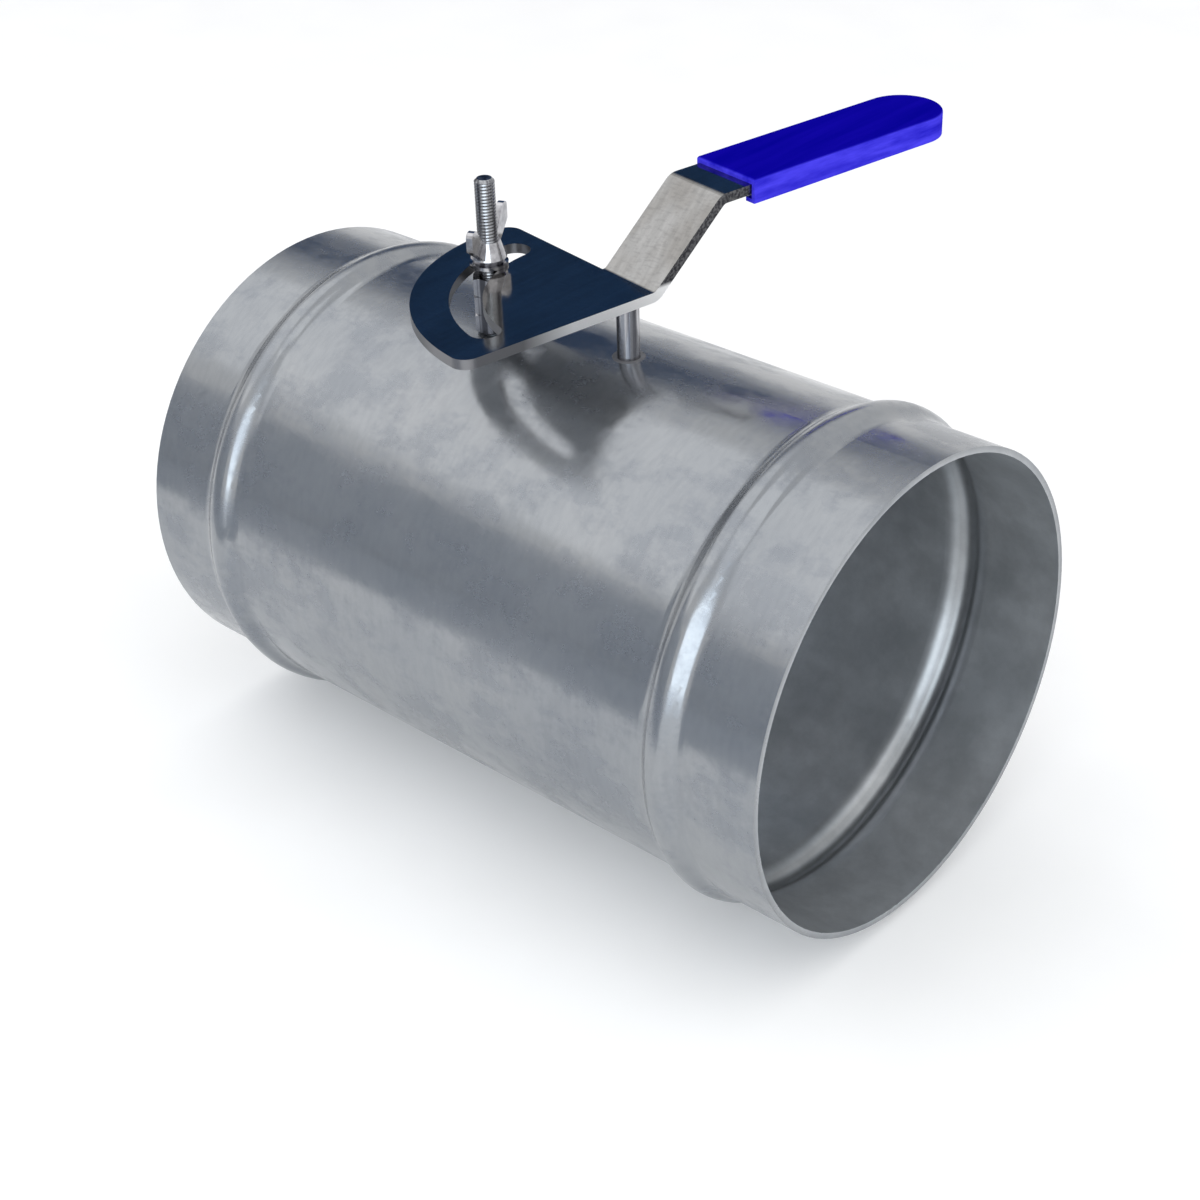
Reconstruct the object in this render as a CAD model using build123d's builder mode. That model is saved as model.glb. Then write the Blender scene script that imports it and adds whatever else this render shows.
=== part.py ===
from build123d import *
import os
from math import atan, cos, radians, sin, sqrt, tan

# Manual duct damper: a beaded duct section with a pivoting blade, turned by a folded quadrant lever
# that a wing nut locks.
# Millimetres. The origin is the centre of the inlet end, +X runs along the duct and +Z up the shaft.

# Duct
duct_length = 200.0
duct_diameter = 120.0
duct_wall = 1.5
spigot_length = 20.0
bead_width = 13.0
bead_height = 2.5
bead_foot_share = 0.5

# Shaft, with its bushes, thrust washer and retaining ring
shaft_x = 114.0
shaft_diameter = 5.5
shaft_tail = 1.8
shaft_chamfer = 0.5
running_clearance = 0.05
seat_clearance = 0.02
face_gap = 0.05
bush_diameter = 8.0
bush_flange_diameter = 13.0
bush_flange_thickness = 2.0
thrust_washer_diameter = 12.0
thrust_washer_thickness = 1.0
ring_diameter = 10.5
ring_thickness = 0.8
ring_groove_depth = 0.7
ring_mouth = 4.0

# Blade and the screws that hold it on the shaft's flat
blade_thickness = 1.2
blade_rim_gap = 1.2
blade_end_gap = 0.3
screw_diameter = 3.0
screw_head_diameter = 5.6
screw_head_height = 1.8
screw_pitch = 56.0
screw_recess_width = 0.8
screw_recess_depth = 0.9

# Quadrant lever, one folded sheet
lever_angle = 80.5
sheet_thickness = 2.5
plate_edge = 4.7
fold_distance = 3.8
quadrant_radius = 50.5
quadrant_corner = 4.0
slot_inset = 13.0
slot_width = 7.8
slot_far_angle = 97.5
slot_near_angle = 172.0
lever_width = 18.6
lever_rise = 18.4
lever_reach = 102.0
arm_slope = 42.0
bend_radius = 2.0
end_round_margin = 0.05

# Grip, a channel that is open below and at its near end
grip_start = 34.3
grip_wall = 1.0
grip_crown = 1.6
grip_room = 1.1
grip_lip_reach = 3.0
grip_lip_thickness = 1.0
grip_edge_round = 0.8

# Lock: bolt, nuts, clamp washer and wing nut
lock_angle = 112.5
bolt_diameter = 5.0
bolt_length = 41.3
bolt_chamfer = 0.7
bolt_head_height = 3.5
bolt_hole_clearance = 0.15
hex_across_flats = 8.0
nut_height = 4.7
nut_bevel = 0.45
nut_names = ("base_nut", "jam_nut", "rest_nut")
clamp_washer_diameter = 9.4
clamp_washer_thickness = 0.8
clamp_washer_clearance = 0.1
wing_angle = 113.0
hub_foot_diameter = 7.4
hub_diameter = 8.8
hub_top_diameter = 6.0
hub_height = 5.4
hub_rim_height = 1.2
wing_span = 22.4
wing_height = 11.2
wing_tip_height = 4.6
wing_tip_width = 2.6
wing_thickness = 1.6
wing_crotch_height = 4.4

# Places that follow from the sizes
outer_radius = duct_diameter / 2
bore_radius = outer_radius - duct_wall
slot_radius = quadrant_radius - slot_inset
bolt_bearing = radians(lever_angle + lock_angle)
bolt_x = shaft_x + slot_radius * cos(bolt_bearing)
bolt_y = slot_radius * sin(bolt_bearing)
hex_radius = hex_across_flats / sqrt(3)
nut_seat = sqrt(outer_radius**2 - max(abs(bolt_y) - hex_radius, 0) ** 2)
head_seat = sqrt(bore_radius**2 - (abs(bolt_y) + hex_radius) ** 2)
plate_bottom = nut_seat + len(nut_names) * nut_height + face_gap
plate_top = plate_bottom + sheet_thickness
flange_face = bore_radius - bush_flange_thickness
blade_half_height = flange_face - blade_end_gap
flat_half_length = flange_face - blade_end_gap / 2
thrust_top = -outer_radius - face_gap
ring_top = thrust_top - thrust_washer_thickness - face_gap
shaft_bottom = ring_top - ring_thickness - face_gap - shaft_tail
washer_bottom = plate_top + face_gap
wing_base = washer_bottom + clamp_washer_thickness + face_gap

# Planes: the lever's plan view, the blade's face, and the lock's axis
along_lever = (cos(radians(lever_angle)), sin(radians(lever_angle)), 0)
across_lever = (sin(radians(lever_angle)), -cos(radians(lever_angle)), 0)
lever_plan = Plane((shaft_x, 0, plate_bottom), x_dir=along_lever, z_dir=(0, 0, 1))
lever_side = Plane((shaft_x, 0, plate_bottom), x_dir=along_lever, z_dir=across_lever)
blade_face = Plane((shaft_x, 0, 0), x_dir=along_lever, z_dir=across_lever)
shaft_plan = Plane((shaft_x, 0, 0))
bolt_plan = Plane((bolt_x, bolt_y, 0), x_dir=(cos(bolt_bearing), sin(bolt_bearing), 0), z_dir=(0, 0, 1))
wing_x = (cos(radians(wing_angle)), sin(radians(wing_angle)), 0)
wing_side = Plane((bolt_x, bolt_y, wing_base), x_dir=wing_x, z_dir=(wing_x[1], -wing_x[0], 0))


def save(piece, node):
    piece.part.label = node
    export_step(piece.part, f"parts/{node}.step")


os.makedirs("parts", exist_ok=True)

# Each bead is three tangent arcs: a hollow foot, the crest and the other foot
bead_turn = 2 * atan(2 * bead_height / bead_width)
bead_arcs = bead_width / 2 / sin(bead_turn)
foot_round = bead_arcs * bead_foot_share
crest_round = bead_arcs - foot_round


def beaded_line(radius, foot, crest):
    """Draws the duct's line at a radius, with the two beads' foot and crest arcs."""
    start = (0, radius)
    for bead_start in (spigot_length, duct_length - spigot_length - bead_width):
        rise = radius + foot * (1 - cos(bead_turn))
        run = foot * sin(bead_turn)
        straight = Line(start, (bead_start, radius))
        up = TangentArc((bead_start, radius), (bead_start + run, rise), tangent=straight % 1)
        over = TangentArc(up @ 1, (bead_start + bead_width - run, rise), tangent=up % 1)
        down = TangentArc(over @ 1, (bead_start + bead_width, radius), tangent=over % 1)
        start = down @ 1
    Line(start, (duct_length, radius))


with BuildPart() as duct_body:
    with BuildSketch(Plane.XZ):
        with BuildLine():
            beaded_line(outer_radius, foot_round, crest_round)
            beaded_line(bore_radius, foot_round + duct_wall, crest_round - duct_wall)
            for end in (0, duct_length):
                Line((end, bore_radius), (end, outer_radius))
        make_face()
    revolve(axis=Axis.X)
    with BuildSketch(shaft_plan):
        Circle(bush_diameter / 2 + seat_clearance)
    extrude(amount=duct_diameter, both=True, mode=Mode.SUBTRACT)
    with BuildSketch(bolt_plan):
        Circle(bolt_diameter / 2 + bolt_hole_clearance)
    extrude(amount=duct_diameter, mode=Mode.SUBTRACT)
save(duct_body, "duct_body")

# A bush goes in from inside the duct: its flange follows the bore and its nose is flush with the outside
for node, side in (("upper_bush", 1), ("lower_bush", -1)):
    with BuildPart() as bush:
        with BuildSketch(Plane((shaft_x, 0, side * flange_face), z_dir=(0, 0, side))):
            Circle(bush_flange_diameter / 2)
        extrude(amount=duct_diameter)
        with BuildSketch(Plane.YZ):
            Circle(bore_radius - seat_clearance)
        extrude(amount=duct_length, mode=Mode.INTERSECT)
        with BuildSketch(Plane((shaft_x, 0, side * flange_face), z_dir=(0, 0, side))):
            Circle(bush_diameter / 2)
        extrude(amount=duct_diameter)
        with BuildSketch(Plane.YZ):
            Circle(outer_radius)
        extrude(amount=duct_length, mode=Mode.INTERSECT)
        with BuildSketch(shaft_plan):
            Circle(shaft_diameter / 2 + running_clearance)
        extrude(amount=duct_diameter, both=True, mode=Mode.SUBTRACT)
    save(bush, node)

# The shaft is welded under the quadrant plate, has a flat for the blade and a groove for the retaining ring
with BuildPart() as shaft:
    with BuildSketch(shaft_plan.offset(shaft_bottom)):
        Circle(shaft_diameter / 2)
    extrude(amount=plate_bottom - shaft_bottom)
    chamfer(shaft.edges().group_by(Axis.Z)[0], shaft_chamfer)
    with BuildSketch(blade_face):
        Rectangle(shaft_diameter, 2 * flat_half_length)
    extrude(amount=shaft_diameter, mode=Mode.SUBTRACT)
    with BuildSketch(blade_face):
        with GridLocations(0, screw_pitch, 1, 2):
            Circle(screw_diameter / 2 + seat_clearance)
    extrude(amount=-shaft_diameter, mode=Mode.SUBTRACT)
    with BuildSketch(shaft_plan.offset(ring_top + face_gap)):
        Circle(shaft_diameter)
        Circle(shaft_diameter / 2 - ring_groove_depth, mode=Mode.SUBTRACT)
    extrude(amount=-ring_thickness - 2 * face_gap, mode=Mode.SUBTRACT)
save(shaft, "shaft")

with BuildPart() as damper_blade:
    with BuildSketch(blade_face):
        Circle(bore_radius - blade_rim_gap)
        Rectangle(duct_diameter, 2 * blade_half_height, mode=Mode.INTERSECT)
        with GridLocations(0, screw_pitch, 1, 2):
            Circle(screw_diameter / 2 + seat_clearance, mode=Mode.SUBTRACT)
    extrude(amount=blade_thickness)
save(damper_blade, "damper_blade")

# Pan-head screws, tapped into the shaft through the blade
with BuildPart() as blade_screws:
    with BuildSketch(blade_face.offset(blade_thickness)):
        with GridLocations(0, screw_pitch, 1, 2):
            Circle(screw_head_diameter / 2)
    extrude(amount=screw_head_height)
    head_tops = blade_screws.faces().group_by(Axis(shaft_plan.origin, across_lever))[-1]
    fillet(head_tops.edges(), screw_head_height / 2)
    with BuildSketch(blade_face.offset(blade_thickness + screw_head_height)):
        with GridLocations(0, screw_pitch, 1, 2):
            Rectangle(screw_head_diameter / 2, screw_recess_width)
            Rectangle(screw_recess_width, screw_head_diameter / 2)
    extrude(amount=-screw_recess_depth, mode=Mode.SUBTRACT)
    with BuildSketch(blade_face.offset(blade_thickness)):
        with GridLocations(0, screw_pitch, 1, 2):
            Circle(screw_diameter / 2)
    extrude(amount=-blade_thickness - shaft_diameter / 2)
save(blade_screws, "blade_screws")

with BuildPart() as thrust_washer:
    with BuildSketch(shaft_plan.offset(thrust_top)):
        Circle(thrust_washer_diameter / 2)
        Circle(shaft_diameter / 2 + running_clearance, mode=Mode.SUBTRACT)
    extrude(amount=-thrust_washer_thickness)
save(thrust_washer, "thrust_washer")

# An open ring that snaps into the shaft's groove from the side
with BuildPart() as retaining_ring:
    with BuildSketch(shaft_plan.offset(ring_top)):
        Circle(ring_diameter / 2)
        Circle(shaft_diameter / 2 - ring_groove_depth + seat_clearance, mode=Mode.SUBTRACT)
        with Locations((ring_diameter / 2, 0)):
            Rectangle(ring_diameter, ring_mouth, mode=Mode.SUBTRACT)
    extrude(amount=-ring_thickness)
save(retaining_ring, "retaining_ring")

# Plate, arm and tang of the lever are one sheet: the arm folds up from the plate's far edge
strip_middle = plate_edge - lever_width / 2
fold_tangent = (bend_radius + sheet_thickness) * tan(radians(arm_slope) / 2)
arm_foot = fold_distance + fold_tangent
arm_head = arm_foot + lever_rise / tan(radians(arm_slope))
slot_sweep = slot_near_angle - slot_far_angle
with BuildPart() as quadrant_lever:
    with BuildSketch(lever_plan):
        Circle(quadrant_radius)
        with Locations((fold_distance, -plate_edge)):
            corner_up = (Align.MAX, Align.MIN)
            Rectangle(2 * quadrant_radius, 2 * quadrant_radius, align=corner_up, mode=Mode.INTERSECT)
        arc_corners = vertices().sort_by_distance((0, 0))[1:]
        fillet(arc_corners, quadrant_corner)
        with BuildLine():
            slot_line = CenterArc((0, 0), slot_radius, slot_far_angle, slot_sweep)
        SlotArc(slot_line, slot_width, mode=Mode.SUBTRACT)
    extrude(amount=sheet_thickness)
    with BuildSketch(lever_side.offset(strip_middle)):
        with BuildLine():
            FilletPolyline(
                (0, 0),
                (arm_foot, 0),
                (arm_head, lever_rise),
                (lever_reach, lever_rise),
                radius=[bend_radius + sheet_thickness, bend_radius],
            )
            offset(amount=sheet_thickness, side=Side.LEFT)
        make_face()
    extrude(amount=lever_width / 2, both=True)
    tang_end = quadrant_lever.faces().sort_by(Axis(lever_plan.origin, along_lever))[-1]
    fillet(tang_end.edges().filter_by(Axis.Z), lever_width / 2 - end_round_margin)
save(quadrant_lever, "quadrant_lever")

# The grip is a vinyl channel over the tang: closed at its rounded far end, with two lips turned in below
tang_top = lever_rise + sheet_thickness
grip_top = tang_top + grip_crown
grip_depth = grip_crown + sheet_thickness + grip_room + grip_lip_thickness
grip_middle = -strip_middle


def channel_plan(height, margin, overhang):
    """Draws the tang's round-ended outline in plan, grown by a margin, from before the grip's near end."""
    width = lever_width + 2 * margin
    with BuildSketch(lever_plan.offset(height)) as outline:
        with Locations((grip_start - overhang, grip_middle)):
            Rectangle(lever_reach + margin - grip_start + overhang, width, align=(Align.MIN, Align.CENTER))
        fillet(vertices().group_by(Axis.X)[-1], width / 2 - end_round_margin)
    return outline.sketch


with BuildPart() as handle_grip:
    extrude(channel_plan(grip_top, grip_wall, 0), amount=-grip_depth)
    top_edges = handle_grip.faces().group_by(Axis.Z)[-1].edges()
    fillet(top_edges, grip_edge_round)
    tang_room = channel_plan(tang_top, seat_clearance, grip_wall)
    extrude(tang_room, amount=-sheet_thickness - grip_room, mode=Mode.SUBTRACT)
    lip_mouth = channel_plan(tang_top, grip_wall - grip_lip_reach, grip_wall)
    extrude(lip_mouth, amount=-grip_depth, mode=Mode.SUBTRACT)
save(handle_grip, "handle_grip")


def hex_bar(bottom, height):
    """Makes a hexagon about the lock's axis, with its corners bevelled at both ends."""
    with BuildSketch(bolt_plan.offset(bottom)) as blank:
        Circle(hex_radius)
    extrude(blank.sketch, amount=height)
    chamfer(edges().filter_by(GeomType.CIRCLE), nut_bevel, hex_radius - hex_across_flats / 2)
    with BuildSketch(bolt_plan.offset(bottom)) as flats:
        RegularPolygon(hex_radius, 6)
    extrude(flats.sketch, amount=height, mode=Mode.INTERSECT)


# The lock bolt goes up through the duct from inside and through the quadrant's slot
with BuildPart() as lock_bolt:
    hex_bar(head_seat - bolt_head_height, bolt_head_height)
    with BuildSketch(bolt_plan.offset(head_seat)):
        Circle(bolt_diameter / 2)
    extrude(amount=bolt_length)
    chamfer(lock_bolt.edges().group_by(Axis.Z)[-1], bolt_chamfer)
save(lock_bolt, "lock_bolt")

# Three nuts: one clamps the bolt to the duct, the next jams it and the third carries the quadrant plate
for level, node in enumerate(nut_names):
    with BuildPart() as nut:
        hex_bar(nut_seat + level * nut_height, nut_height)
        with BuildSketch(bolt_plan.offset(nut_seat + level * nut_height)):
            Circle(bolt_diameter / 2 + seat_clearance)
        extrude(amount=nut_height, mode=Mode.SUBTRACT)
    save(nut, node)

with BuildPart() as clamp_washer:
    with BuildSketch(bolt_plan.offset(washer_bottom)):
        Circle(clamp_washer_diameter / 2)
        Circle(bolt_diameter / 2 + clamp_washer_clearance, mode=Mode.SUBTRACT)
    extrude(amount=clamp_washer_thickness)
save(clamp_washer, "clamp_washer")

# Wing nut: a cone-shaped hub with two upright wings, cast in one piece
with BuildPart() as wing_nut:
    with BuildSketch(wing_side):
        with BuildLine():
            Polyline(
                (0, 0),
                (hub_foot_diameter / 2, 0),
                (hub_diameter / 2, hub_rim_height),
                (hub_top_diameter / 2, hub_height),
                (0, hub_height),
                close=True,
            )
        make_face()
    revolve(axis=Axis((bolt_x, bolt_y, 0), (0, 0, 1)))
    with BuildSketch(wing_side) as wings:
        with BuildLine():
            Polyline(
                (bolt_diameter / 2, hub_rim_height),
                (hub_foot_diameter / 2, hub_rim_height),
                (wing_span / 2, wing_height - wing_tip_height),
                (wing_span / 2, wing_height),
                (wing_span / 2 - wing_tip_width, wing_height),
                (hub_top_diameter / 2, wing_crotch_height),
                close=True,
            )
        make_face()
        tips = wings.vertices().filter_by_position(Axis.Y, wing_height - wing_tip_height / 2, wing_height)
        fillet(tips, wing_tip_width / 2 - end_round_margin)
        mirror(about=Plane.YZ)
    extrude(amount=wing_thickness / 2, both=True)
    with BuildSketch(bolt_plan):
        Circle(bolt_diameter / 2 + running_clearance)
    extrude(amount=wing_base + wing_height, mode=Mode.SUBTRACT)
save(wing_nut, "wing_nut")
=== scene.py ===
from math import cos, pi, radians, sin

import bpy
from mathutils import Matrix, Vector


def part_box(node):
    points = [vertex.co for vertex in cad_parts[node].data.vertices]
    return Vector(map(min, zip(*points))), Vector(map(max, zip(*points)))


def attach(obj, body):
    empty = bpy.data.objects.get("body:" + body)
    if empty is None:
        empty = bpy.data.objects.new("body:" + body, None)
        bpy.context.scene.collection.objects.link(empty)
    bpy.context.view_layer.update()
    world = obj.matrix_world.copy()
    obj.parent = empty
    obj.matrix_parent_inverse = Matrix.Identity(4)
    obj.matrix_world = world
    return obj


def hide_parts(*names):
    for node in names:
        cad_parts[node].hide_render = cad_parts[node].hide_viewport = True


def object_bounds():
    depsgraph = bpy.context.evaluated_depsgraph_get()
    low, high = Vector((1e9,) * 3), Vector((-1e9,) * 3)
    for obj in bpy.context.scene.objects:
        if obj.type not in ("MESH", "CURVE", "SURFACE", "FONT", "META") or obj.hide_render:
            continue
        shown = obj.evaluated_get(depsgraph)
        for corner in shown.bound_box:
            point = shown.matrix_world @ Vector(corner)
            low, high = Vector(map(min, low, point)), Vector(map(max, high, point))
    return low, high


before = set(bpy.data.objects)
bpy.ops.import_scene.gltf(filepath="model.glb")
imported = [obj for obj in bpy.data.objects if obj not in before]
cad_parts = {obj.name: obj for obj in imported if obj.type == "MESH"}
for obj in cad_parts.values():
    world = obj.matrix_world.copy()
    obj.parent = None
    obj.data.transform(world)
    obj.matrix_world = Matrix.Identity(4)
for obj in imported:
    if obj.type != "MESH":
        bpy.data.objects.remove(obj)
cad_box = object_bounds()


# Duct body: a rolled tube of galvanised sheet with two pressed beads. Hot zinc leaves soft cloudy
# patches, and rolling leaves fine streaks round the tube. Both ends are plain cut edges.

def bare_finish(name, metallic):
    """A new material, with its node tree and its shader."""
    material = bpy.data.materials.new(name)
    material.use_nodes = True
    tree = material.node_tree
    surface = tree.nodes["Principled BSDF"]
    surface.inputs["Metallic"].default_value = metallic
    return material, tree, surface


def coordinate(tree, kind):
    """A point's place on its own object, or for Normal the way that its face points there."""
    return tree.nodes.new("ShaderNodeTexCoord").outputs[kind]


def clouds(tree, per_metre, stretch=(1, 1, 1), detail=4.0, roughness=0.55):
    """Noise of so many patches per metre; a stretch below 1 draws them out along that axis."""
    mapping = tree.nodes.new("ShaderNodeMapping")
    mapping.inputs["Scale"].default_value = stretch
    tree.links.new(coordinate(tree, "Object"), mapping.inputs["Vector"])
    noise = tree.nodes.new("ShaderNodeTexNoise")
    noise.inputs["Scale"].default_value = per_metre
    noise.inputs["Detail"].default_value = detail
    noise.inputs["Roughness"].default_value = roughness
    tree.links.new(mapping.outputs["Vector"], noise.inputs["Vector"])
    return noise.outputs["Fac"]


def grey(value):
    """A neutral colour."""
    return (value, value, value)


def ramp(tree, factor, *stops):
    """A colour ramp through stops of (position, colour)."""
    node = tree.nodes.new("ShaderNodeValToRGB")
    elements = node.color_ramp.elements
    while len(elements) < len(stops):
        elements.new(0.5)
    for element, (position, colour) in zip(elements, stops):
        element.position = position
        element.color = (*colour, 1)
    tree.links.new(factor, node.inputs["Fac"])
    return node.outputs["Color"]


def spread(tree, factor, low, high, start=0.3, end=0.7):
    """Turns a factor between start and end into a value between low and high."""
    node = tree.nodes.new("ShaderNodeMapRange")
    node.inputs["From Min"].default_value = start
    node.inputs["From Max"].default_value = end
    node.inputs["To Min"].default_value = low
    node.inputs["To Max"].default_value = high
    tree.links.new(factor, node.inputs["Value"])
    return node.outputs["Result"]


def blended(tree, factor, first, second, how="MIX"):
    """Two colours mixed by a factor, which is a number or another node's output."""
    node = tree.nodes.new("ShaderNodeMix")
    node.data_type = "RGBA"
    node.blend_type = how
    if isinstance(factor, float):
        node.inputs["Factor"].default_value = factor
    else:
        tree.links.new(factor, node.inputs["Factor"])
    tree.links.new(first, node.inputs["A"])
    tree.links.new(second, node.inputs["B"])
    return node.outputs["Result"]


def darkened(tree, colour, *layers):
    """A colour multiplied by each layer in turn."""
    for layer in layers:
        colour = blended(tree, 1.0, colour, layer, "MULTIPLY")
    return colour


def vectors(tree, operation, first, second=None):
    """One sum on vectors; the second is another node's output or plain numbers."""
    node = tree.nodes.new("ShaderNodeVectorMath")
    node.operation = operation
    tree.links.new(first, node.inputs[0])
    if isinstance(second, tuple):
        node.inputs[1].default_value = second
    elif second is not None:
        tree.links.new(second, node.inputs[1])
    return node.outputs["Vector" if operation == "MULTIPLY" else "Value"]


def uneven(tree, surface, *layers):
    """Bump layers of (height, strength, depth in metres), one on top of the other."""
    below = None
    for height, strength, depth in layers:
        bump = tree.nodes.new("ShaderNodeBump")
        bump.inputs["Strength"].default_value = strength
        bump.inputs["Distance"].default_value = depth
        tree.links.new(height, bump.inputs["Height"])
        if below is not None:
            tree.links.new(below, bump.inputs["Normal"])
        below = bump.outputs["Normal"]
    tree.links.new(below, surface.inputs["Normal"])


def coat(tree, surface, colour, roughness=None):
    """Gives a surface its colour, and its roughness where that varies."""
    tree.links.new(colour, surface.inputs["Base Color"])
    if roughness is not None:
        tree.links.new(roughness, surface.inputs["Roughness"])


def dress(material, *names):
    """Gives CAD nodes a material."""
    for name in names:
        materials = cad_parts[name].data.materials
        materials.clear()
        materials.append(material)


def galvanised(name, dark, middle, light, roughness):
    """Zinc with cloudy patches, ragged worn spots and a fine grain, its colour and its gloss."""
    material, tree, surface = bare_finish(name, metallic=0.85)
    patches = clouds(tree, per_metre=22, detail=8, roughness=0.62)
    ragged = clouds(tree, per_metre=80, stretch=(0.7, 1, 1), detail=9, roughness=0.7)
    grain = clouds(tree, per_metre=750, stretch=(1, 0.3, 0.3), detail=3)
    zinc = ramp(tree, patches, (0.32, dark), (0.5, middle), (0.66, light))
    worn = ramp(tree, ragged, (0.42, (0.88, 0.89, 0.915)), (0.53, grey(1)))
    speck = ramp(tree, grain, (0.35, (0.94, 0.94, 0.945)), (0.6, grey(1)))
    wear = 0.07
    gloss = spread(tree, ragged, roughness + wear, roughness - wear, start=0.42, end=0.58)
    uneven(tree, surface, (patches, 0.08, 0.001), (ragged, 0.05, 0.0004), (grain, 0.12, 0.00005))
    return material, tree, surface, darkened(tree, zinc, worn, speck), gloss


# The mill's rollers polish the outside, and the bore stays rougher. The bore's colour is painted
# lighter than the outside's, as painted light in the shaded bore, and darker in the grooves of the
# beads, as painted shade. A face that points towards the tube's axis belongs to the bore.
bore_radius = 0.0585
bead_height = 0.0025
# Painted shade: the bore is darkened to this share in the grooves of the beads.
groove_painted_shade = 0.6
duct_zinc, tree, surface, outside, outside_gloss = galvanised(
    "duct_zinc", dark=(0.268, 0.283, 0.303), middle=(0.294, 0.308, 0.325),
    light=(0.32, 0.331, 0.344), roughness=0.21)
across = vectors(tree, "MULTIPLY", coordinate(tree, "Object"), (0, 1, 1))
from_axis = vectors(tree, "LENGTH", across)
outward = vectors(tree, "DOT_PRODUCT", across, coordinate(tree, "Normal"))
outer_half = spread(tree, outward, 0.0, 1.0, start=-0.01, end=0.01)
inner_patches = clouds(tree, per_metre=34, detail=6, roughness=0.6)
inner_flecks = clouds(tree, per_metre=130, detail=8, roughness=0.65)
# Painted light and shade: the bore gets a lighter zinc than the outside, standing in for light the
# shaded bore lacks, and is darkened in the grooves.
inside = darkened(
    tree,
    ramp(tree, inner_patches, (0.38, (0.47, 0.49, 0.51)), (0.62, (0.6, 0.62, 0.64))),
    ramp(tree, inner_flecks, (0.4, grey(0.88)), (0.6, grey(1))),
    spread(tree, from_axis, 1.0, groove_painted_shade, bore_radius, bore_radius + bead_height / 2))
inside_gloss = spread(tree, inner_patches, 0.34, 0.42)
coat(tree, surface, blended(tree, outer_half, inside, outside),
     blended(tree, outer_half, inside_gloss, outside_gloss))
dress(duct_zinc, "duct_body")


# Damper blade: a flat disc of thinner galvanised sheet, cut straight above and below to clear the
# bushes, and screwed to the shaft's flat.

blade_zinc, tree, surface, colour, gloss = galvanised(
    "blade_zinc", dark=(0.36, 0.38, 0.41), middle=(0.46, 0.48, 0.51),
    light=(0.56, 0.58, 0.61), roughness=0.35)
coat(tree, surface, colour, gloss)
dress(blade_zinc, "damper_blade")


# Bushes: two sleeves of moulded grey nylon, in which the shaft turns. Each is pushed in from inside
# the duct until its flange meets the bore.

nylon, tree, surface = bare_finish("bush_nylon", metallic=0.0)
surface.inputs["Roughness"].default_value = 0.5
moulded = clouds(tree, per_metre=700, detail=3)
coat(tree, surface, ramp(tree, moulded, (0.3, (0.13, 0.13, 0.14)), (0.7, (0.17, 0.17, 0.18))))
uneven(tree, surface, (moulded, 0.2, 0.0001))
dress(nylon, "upper_bush", "lower_bush")


# Shaft, washers, ring, nuts and screws: bright drawn steel. Drawing leaves dark and light lines up
# each piece, and handling leaves a little tarnish in patches. The shaft is welded under the lever,
# and the ring in its groove holds it from below.

def bright_steel(name, dark, light, smooth, rough):
    """Drawn steel with dark and light lines up it and a little tarnish."""
    material, tree, surface = bare_finish(name, metallic=1.0)
    tarnish = clouds(tree, per_metre=260, detail=4)
    drawn = clouds(tree, per_metre=520, stretch=(1, 1, 0.03), detail=3)
    lines = ramp(tree, drawn, (0.42, dark), (0.56, light))
    patina = ramp(tree, tarnish, (0.3, grey(0.8)), (0.6, grey(1)))
    coat(tree, surface, darkened(tree, lines, patina), spread(tree, drawn, smooth, rough))
    uneven(tree, surface, (drawn, 0.1, 0.00006))
    return material


shaft_steel = bright_steel(
    "shaft_steel", dark=(0.14, 0.14, 0.16), light=(0.46, 0.46, 0.48), smooth=0.1, rough=0.22)
dress(shaft_steel, "shaft", "thrust_washer", "retaining_ring", "blade_screws", "clamp_washer")
nut_steel = bright_steel(
    "nut_steel", dark=(0.1, 0.1, 0.11), light=(0.36, 0.36, 0.38), smooth=0.12, rough=0.24)
dress(nut_steel, "base_nut", "jam_nut", "rest_nut")


# Quadrant lever: one polished sheet, cut with its slot and folded twice into plate, arm and tang.
# The polish leaves faint lines along the top. The underside stays rougher, as the mill rolled it,
# and its colour is painted lighter than the top's, as painted light where it lies in shade. The
# plate's cut edge by the fold is painted bright, as a painted reflection, and the cut edges round
# its arc and up the arm are painted dark, as painted shade.

def facing(tree, axis, start=0.05, end=0.15):
    """1 on faces that point along an axis, and 0 on the others."""
    along = vectors(tree, "DOT_PRODUCT", coordinate(tree, "Normal"), axis)
    return spread(tree, along, 0.0, 1.0, start, end)


lever_sheet, tree, surface = bare_finish("lever_sheet", metallic=1.0)
polish = clouds(tree, per_metre=600, stretch=(1, 0.05, 0.3), detail=3)
pits = clouds(tree, per_metre=1500, stretch=(0.3, 1, 1), detail=3)
smudge = clouds(tree, per_metre=95, stretch=(1, 0.45, 1), detail=6)
face_colour = darkened(
    tree,
    ramp(tree, polish, (0.3, grey(0.262)), (0.7, grey(0.332))),
    ramp(tree, pits, (0.32, (0.86, 0.855, 0.85)), (0.52, (1, 0.995, 0.985))),
    ramp(tree, smudge, (0.4, (0.84, 0.82, 0.8)), (0.6, grey(1))))
# Painted light: the underside is lighter than the top, standing in for light in the shade it lies
# in.
underside_painted_light = ramp(tree, pits, (0.3, grey(0.7)), (0.7, grey(0.85)))

lever_angle = radians(80.5)
lever_side = (sin(lever_angle), -cos(lever_angle), 0)
shaft_low, shaft_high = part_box("shaft")
shaft_foot = ((shaft_low.x + shaft_high.x) / 2, (shaft_low.y + shaft_high.y) / 2, 0)
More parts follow.
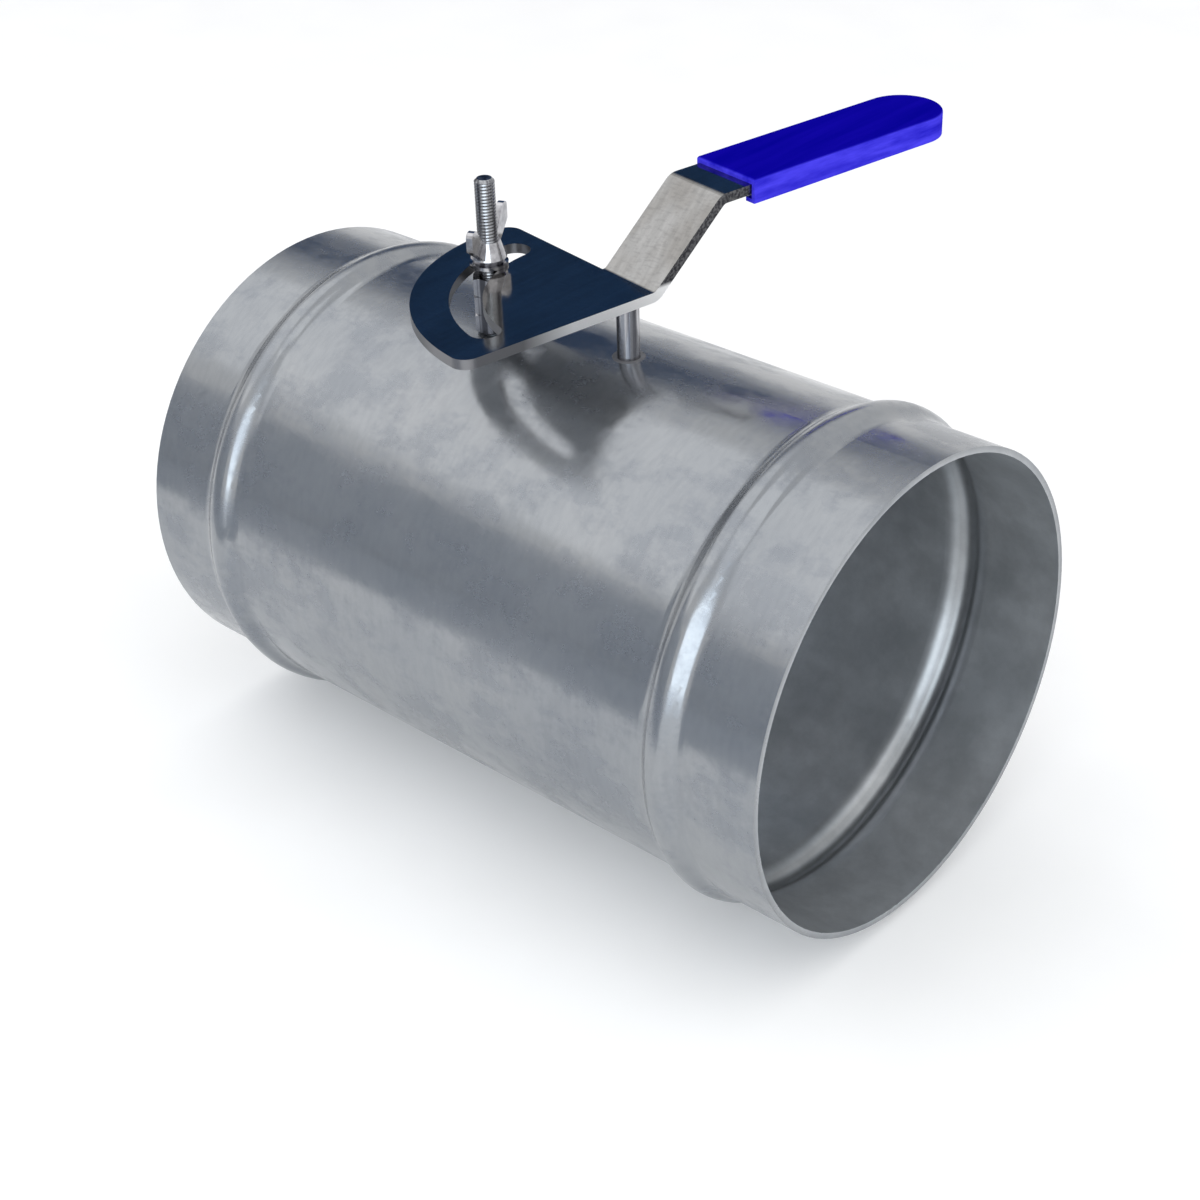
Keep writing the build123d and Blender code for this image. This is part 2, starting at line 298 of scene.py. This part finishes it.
# Painted reflection and shade: cut edges that face the lever's side are painted bright near the
# fold, the plate's other edges dark, and the arm's edges darker still.
painted_highlight_reach = 0.02
painted_highlight_end = 0.034
level_place = vectors(tree, "MULTIPLY", coordinate(tree, "Object"), (1, 1, 0))
from_shaft = vectors(tree, "DISTANCE", level_place, shaft_foot)
painted_highlight_near_fold = tree.nodes.new("ShaderNodeMath")
painted_highlight_near_fold.operation = "MULTIPLY"
tree.links.new(facing(tree, lever_side, start=0.7, end=0.95), painted_highlight_near_fold.inputs[0])
tree.links.new(spread(tree, from_shaft, 1.0, 0.0, painted_highlight_reach, painted_highlight_end), painted_highlight_near_fold.inputs[1])
plate_edge_painted_light_and_shade = ramp(tree, painted_highlight_near_fold.outputs["Value"], (0.0, (0.2, 0.2, 0.21)), (1.0, grey(0.95)))
arm_edge_painted_shade = ramp(tree, pits, (0.4, (0.03, 0.03, 0.035)), (0.62, (0.12, 0.12, 0.125)))

sheet_thickness = 0.0025
plate_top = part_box("quadrant_lever")[0].z + sheet_thickness
arm_start = plate_top + 0.0005
arm_clear = arm_start + 0.001
height = tree.nodes.new("ShaderNodeSeparateXYZ")
tree.links.new(coordinate(tree, "Object"), height.inputs[0])
on_arm = spread(tree, height.outputs["Z"], 0.0, 1.0, arm_start, arm_clear)
edges_painted_light_and_shade = blended(tree, on_arm, plate_edge_painted_light_and_shade, arm_edge_painted_shade)

polished = facing(tree, (0, 0, 1))
underneath = facing(tree, (0, 0, -1))
edge_roughness = 0.34
polish_roughness = 0.09
top_and_edges = blended(tree, polished, edges_painted_light_and_shade, face_colour)
coat(tree, surface, blended(tree, underneath, top_and_edges, underside_painted_light),
     spread(tree, polished, edge_roughness, polish_roughness, start=0.0, end=1.0))
uneven(tree, surface, (polish, 0.02, 0.00004))
dress(lever_sheet, "quadrant_lever")


# Handle grip: a blue vinyl channel pushed over the tang. Its top is deep blue, and its sides are
# painted paler, as painted light, with faint drag marks along them.

vinyl, tree, surface = bare_finish("grip_vinyl", metallic=0.0)
surface.inputs["Specular IOR Level"].default_value = 0.0
drag = clouds(tree, per_metre=420, stretch=(1, 0.06, 1), detail=4)
deep = ramp(tree, drag, (0.3, (0.002, 0.001, 0.26)), (0.7, (0.005, 0.002, 0.32)))
# Painted light: the grip's sides are painted paler than its top.
sides_painted_light = ramp(tree, drag, (0.3, (0.021, 0.016, 0.54)), (0.7, (0.078, 0.062, 0.84)))
grip_top = facing(tree, (0, 0, 1), start=0.3, end=0.8)
grip_underside = facing(tree, (0, 0, -1), start=0.3, end=0.8)
sides_and_top = blended(tree, grip_top, sides_painted_light, deep)
coat(tree, surface, blended(tree, grip_underside, sides_and_top, deep),
     spread(tree, drag, 0.2, 0.3))
uneven(tree, surface, (drag, 0.1, 0.0001))
dress(vinyl, "handle_grip")


# Lock bolt: a hexagon-headed bolt with a rolled thread along its whole length, put up through the
# duct from inside. The thread's crests are at the CAD bolt's own radius.

def turned(name, axis, rings, sides):
    """A closed solid about an upright axis, from rings of (height, radius at an angle)."""
    points = []
    faces = []
    for height, radius in rings:
        for side in range(sides):
            angle = 2 * pi * side / sides
            reach = radius(angle)
            points.append((axis.x + reach * cos(angle), axis.y + reach * sin(angle), height))
    for ring in range(len(rings) - 1):
        for side in range(sides):
            following = (side + 1) % sides
            low, high = ring * sides, (ring + 1) * sides
            faces.append((low + side, low + following, high + following, high + side))
    faces.append(tuple(reversed(range(sides))))
    faces.append(tuple(range((len(rings) - 1) * sides, len(rings) * sides)))
    mesh = bpy.data.meshes.new(name)
    mesh.from_pydata(points, [], faces)
    piece = bpy.data.objects.new(name, mesh)
    bpy.context.scene.collection.objects.link(piece)
    return piece


bolt_low, bolt_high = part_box("lock_bolt")
bolt_axis = (bolt_low + bolt_high) / 2
bolt_radius = 0.0025
bolt_chamfer = 0.0007
bolt_sides = 48
thread_pitch = 0.0008
thread_depth = 0.0001
thread_crest = 0.12
thread_flank = 0.76
rings_per_turn = 10
head_height = 0.0035
head_flats = 0.008
head_corners = head_flats * 2 / 3**0.5
head_bevel = 0.00045
head_turn = radians(13)
bevel_steps = (0.0, 0.5, 1.0)


def head_ring(height, step):
    """A ring of the hexagon head, cut back to its flats at step 0 and left whole at step 1."""
    limit = head_flats / 2 + step * (head_corners / 2 - head_flats / 2)

    def radius(angle):
        from_flat = (angle - head_turn) % (pi / 3) - pi / 6
        return min(head_flats / 2 / cos(from_flat), limit)
    return height, radius


def thread_ring(height):
    """A ring of the thread, which winds once for each pitch and is chamfered at the bolt's tip."""
    def radius(angle):
        phase = (height / thread_pitch - angle / (2 * pi)) % 1.0
        from_crest = (abs(2 * phase - 1) - thread_crest) / thread_flank
        cut = bolt_radius - thread_depth * min(max(from_crest, 0.0), 1.0)
        return min(cut, bolt_radius - bolt_chamfer + (bolt_high.z - height))
    return height, radius


head_top = bolt_low.z + head_height
thread_length = bolt_high.z - head_top
thread_steps = int(thread_length / thread_pitch * rings_per_turn)
rings = [head_ring(bolt_low.z + step * head_bevel, step) for step in bevel_steps]
rings += [head_ring(head_top - step * head_bevel, step) for step in reversed(bevel_steps)]
rings += [thread_ring(head_top + thread_length * step / thread_steps)
          for step in range(thread_steps + 1)]
threaded_bolt = turned("threaded_bolt", bolt_axis, rings, bolt_sides)
threaded_bolt.data.materials.append(bright_steel(
    "bolt_steel", dark=(0.07, 0.07, 0.08), light=(0.36, 0.37, 0.39), smooth=0.14, rough=0.26))
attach(threaded_bolt, "duct")
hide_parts("lock_bolt")


# Wing nut: a plated casting with a round hub and two upright wings. It is run down on the bolt by
# hand, and clamps the plate at the angle that it is set to.

plating, tree, surface = bare_finish("wing_nut_plating", metallic=1.0)
skin = clouds(tree, per_metre=420, detail=4)
coat(tree, surface, ramp(tree, skin, (0.36, (0.3, 0.3, 0.32)), (0.62, (0.5, 0.5, 0.52))),
     spread(tree, skin, 0.08, 0.18))
uneven(tree, surface, (skin, 0.15, 0.00015))
dress(plating, "wing_nut")


# Floor and studio: a floor of white paper that keeps the duct's shadow, a white surround and three
# soft lamps. The matt boards stand outside the view, only to be mirrored: the blue one in the
# polished plate, and the greys and the card on the floor along the tube's side.

def panel(name, centre, target, width, height):
    """A flat board about a centre, turned to face a target. It is no part of the object."""
    half_width, half_height = width / 2, height / 2
    mesh = bpy.data.meshes.new(name)
    corners = [(-half_width, -half_height, 0), (half_width, -half_height, 0),
               (half_width, half_height, 0), (-half_width, half_height, 0)]
    mesh.from_pydata(corners, [], [(0, 1, 2, 3)])
    board = bpy.data.objects.new(name, mesh)
    board.location = centre
    board.rotation_mode = "QUATERNION"
    board.rotation_quaternion = (Vector(target) - Vector(centre)).to_track_quat("Z", "Y")
    bpy.context.scene.collection.objects.link(board)
    return board


def matt_finish(name, roughness):
    """A bare finish with no gloss."""
    material, tree, surface = bare_finish(name, metallic=0.0)
    surface.inputs["Roughness"].default_value = roughness
    surface.inputs["Specular IOR Level"].default_value = 0.0
    return material, tree, surface


def seen_white(tree, strength, least, most):
    """Sets a strength to most where it is seen, mirrored or not, and to least elsewhere."""
    path = tree.nodes.new("ShaderNodeLightPath")
    seen = path.outputs["Is Camera Ray"]
    for ray in ("Is Glossy Ray", "Is Transmission Ray"):
        either = tree.nodes.new("ShaderNodeMath")
        either.operation = "MAXIMUM"
        tree.links.new(seen, either.inputs[0])
        tree.links.new(path.outputs[ray], either.inputs[1])
        seen = either.outputs[0]
    tree.links.new(spread(tree, seen, least, most, start=0.0, end=1.0), strength)


# The floor is clear from below, so that the duct's underside can be looked at.
floor_level = cad_box[0].z
floor_side = 12
middle = (cad_box[0] + cad_box[1]) / 2
floor = panel("floor", (middle.x, middle.y, floor_level), (middle.x, middle.y, 1),
              floor_side, floor_side)
paper, tree, surface = matt_finish("floor_paper", roughness=0.9)
pulp = tree.nodes.new("ShaderNodeTexNoise")
pulp.inputs["Scale"].default_value = 300
coat(tree, surface, ramp(tree, pulp.outputs["Fac"], (0.3, grey(0.9)), (0.7, grey(0.93))))
surface.inputs["Emission Color"].default_value = (1, 1, 1, 1)
seen_white(tree, surface.inputs["Emission Strength"], least=0.0, most=0.13)
one_sided = tree.nodes.new("ShaderNodeMixShader")
geometry = tree.nodes.new("ShaderNodeNewGeometry")
clear = tree.nodes.new("ShaderNodeBsdfTransparent")
tree.links.new(geometry.outputs["Backfacing"], one_sided.inputs["Fac"])
tree.links.new(surface.outputs["BSDF"], one_sided.inputs[1])
tree.links.new(clear.outputs["BSDF"], one_sided.inputs[2])
tree.links.new(one_sided.outputs["Shader"], tree.nodes["Material Output"].inputs["Surface"])
floor.data.materials.append(paper)


def mirrored_only(board, colour):
    """Makes a board matt, in one colour, and seen only in the metal."""
    material, tree, surface = matt_finish(board.name, roughness=1.0)
    surface.inputs["Base Color"].default_value = (*colour, 1)
    board.data.materials.append(material)
    board.visible_camera = False
    return tree, surface


# The blue board fades out towards its edges, so that it leaves no hard line on the tube.
blue_width = 1.3
blue_height = 0.85
blue_board = panel("blue_board", (-0.68, 0.8, 0.59), middle, blue_width, blue_height)
tree, surface = mirrored_only(blue_board, (0.026, 0.066, 0.155))
share = vectors(tree, "MULTIPLY", coordinate(tree, "Object"), (1 / blue_width, 1 / blue_height, 0))
from_middle = vectors(tree, "LENGTH", share)
tree.links.new(spread(tree, from_middle, 1.0, 0.0, start=0.2, end=0.5), surface.inputs["Alpha"])

grey_board = panel("grey_board", (-0.78, -1.12, 0.295), middle, width=1.6, height=0.73)
mirrored_only(grey_board, (0.48, 0.51, 0.56))
dark_board = panel("dark_board", (-1.45, 0.4, 0.14), middle, width=0.9, height=0.4)
mirrored_only(dark_board, (0.1, 0.11, 0.13))

# The floor card takes no light from the floor under it.
card_x, card_y, card_lift = -0.7, -0.86, 0.001
floor_card = panel("floor_card", (card_x, card_y, floor_level + card_lift), (card_x, card_y, 1),
                   width=1.7, height=1.26)
mirrored_only(floor_card, (0.45, 0.48, 0.53))
floor_card.visible_diffuse = False
floor_card.visible_shadow = False

world = bpy.data.worlds.new("studio")
bpy.context.scene.world = world
world.use_nodes = True
surround = world.node_tree.nodes["Background"]
surround.inputs["Color"].default_value = (1, 1, 1, 1)
seen_white(world.node_tree, surround.inputs["Strength"], least=0.9, most=1.0)


def softbox(name, centre, width, height, watts, colour):
    """A large soft lamp, turned to the middle of the object."""
    lamp = bpy.data.lights.new(name, "AREA")
    lamp.shape = "RECTANGLE"
    lamp.size = width
    lamp.size_y = height
    lamp.energy = watts
    lamp.color = colour
    stand = bpy.data.objects.new(name, lamp)
    stand.location = centre
    stand.rotation_mode = "QUATERNION"
    stand.rotation_quaternion = (middle - Vector(centre)).to_track_quat("-Z", "Y")
    bpy.context.scene.collection.objects.link(stand)


softbox("overhead", (-0.6, -0.3, 1.25), width=1.7, height=1.4, watts=3.9, colour=grey(1))
softbox("front_window", (0.762, -1.011, 0.36), width=0.92, height=0.82, watts=5.7,
        colour=(0.8, 0.91, 1))
softbox("outlet_window", (0.79, -0.18, 1.04), width=0.9, height=0.9, watts=1.6, colour=grey(1))


# Camera: it stands where the photograph was taken from, off the outlet end and a little above it,
# with a lens that is slightly long.

view = bpy.data.cameras.new("view")
view.sensor_width = 36
view.lens = 66.45
view.clip_start = 0.01
camera = bpy.data.objects.new("view", view)
camera.location = (0.43033, -0.35074, 0.29091)
camera.rotation_euler = (radians(57.673), radians(1.759), radians(42.014))
bpy.context.scene.collection.objects.link(camera)
bpy.context.scene.camera = camera
bpy.context.scene.view_settings.view_transform = "Standard"
